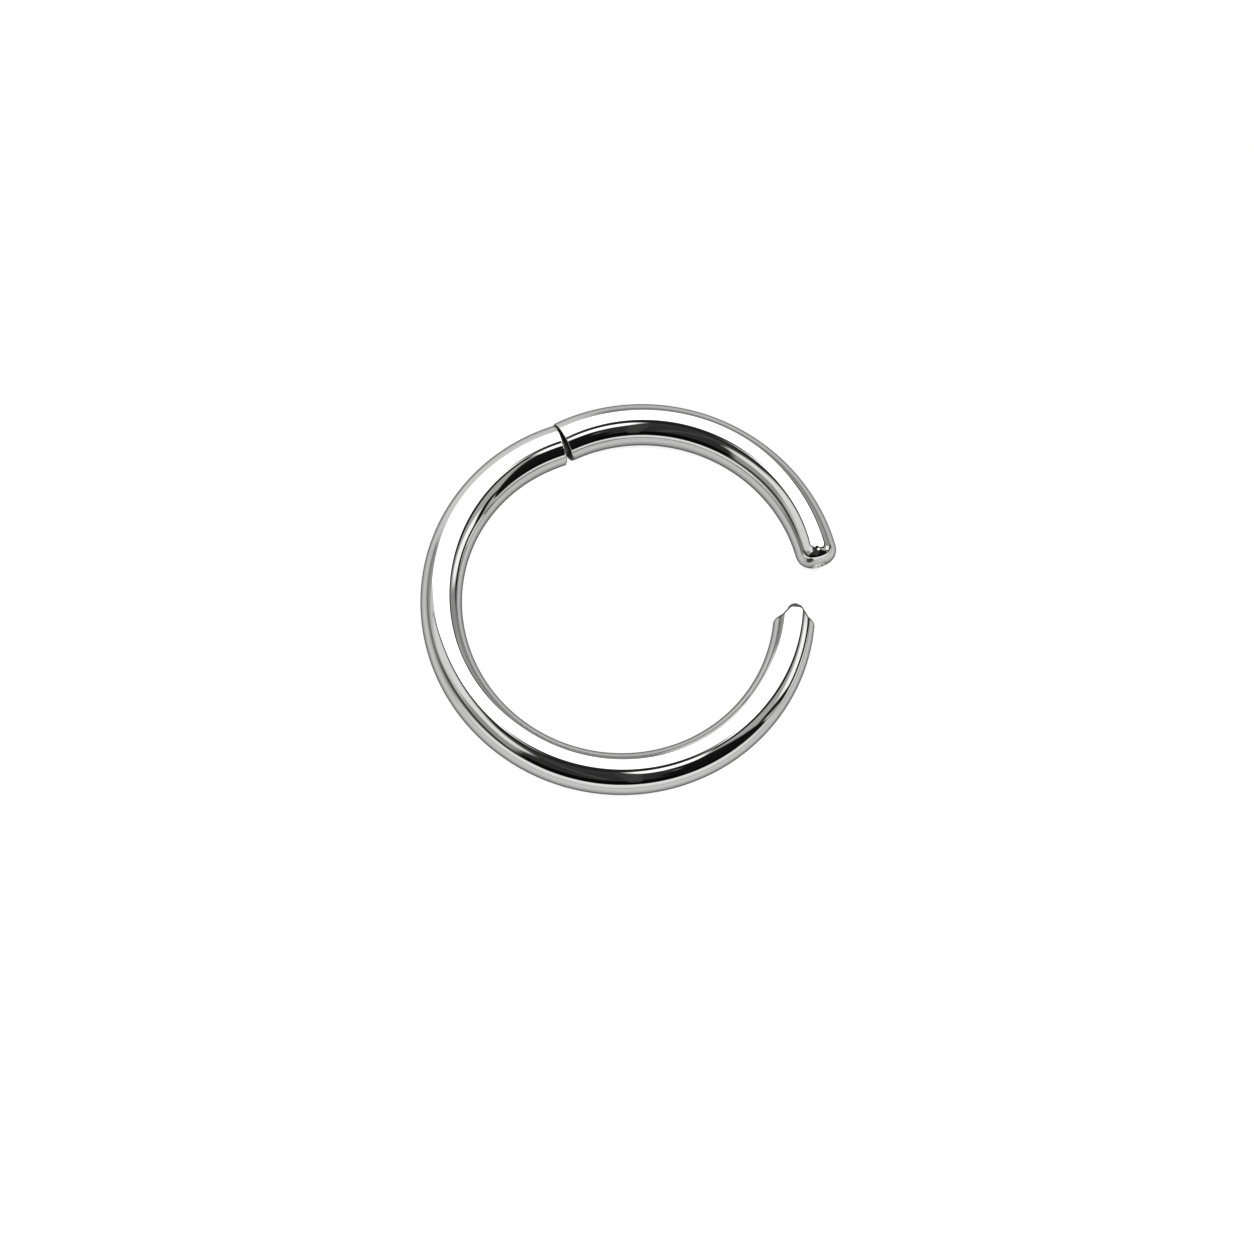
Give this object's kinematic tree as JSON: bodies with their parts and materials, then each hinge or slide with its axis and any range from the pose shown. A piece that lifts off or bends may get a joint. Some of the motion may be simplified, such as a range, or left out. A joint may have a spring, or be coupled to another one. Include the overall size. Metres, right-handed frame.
{
  "type": "septum clicker",
  "caption": "Plain round wire ring with a hinged segment that swings open in the ring's plane; the fixed end's small nub seats in the segment's domed end to close it round the septum.",
  "frame": {"origin": "on the surface that the ring lies on, below the middle of the open ring's bounding box", "axes": "+Z is the ring's own axis, square to its plane; +X points from the closed side of the ring towards its opening; +Y points towards the hinged segment"},
  "size_m": [0.016, 0.0158, 0.0016],
  "materials": {
    "polished_steel": "mirror-polished surgical stainless steel"
  },
  "bodies": {
    "ring": {"ring_body": "polished_steel", "hinge_pin": "polished_steel"},
    "segment": {"hinged_segment": "polished_steel"}
  },
  "joints": [
    {"name": "segment_hinge", "type": "hinge", "parent": "ring", "child": "segment", "pos_m": [-0.00305, 0.00649, 0.0008], "axis": [0, 0, 1], "range_deg": [-9.5, 80.5]}
  ]
}
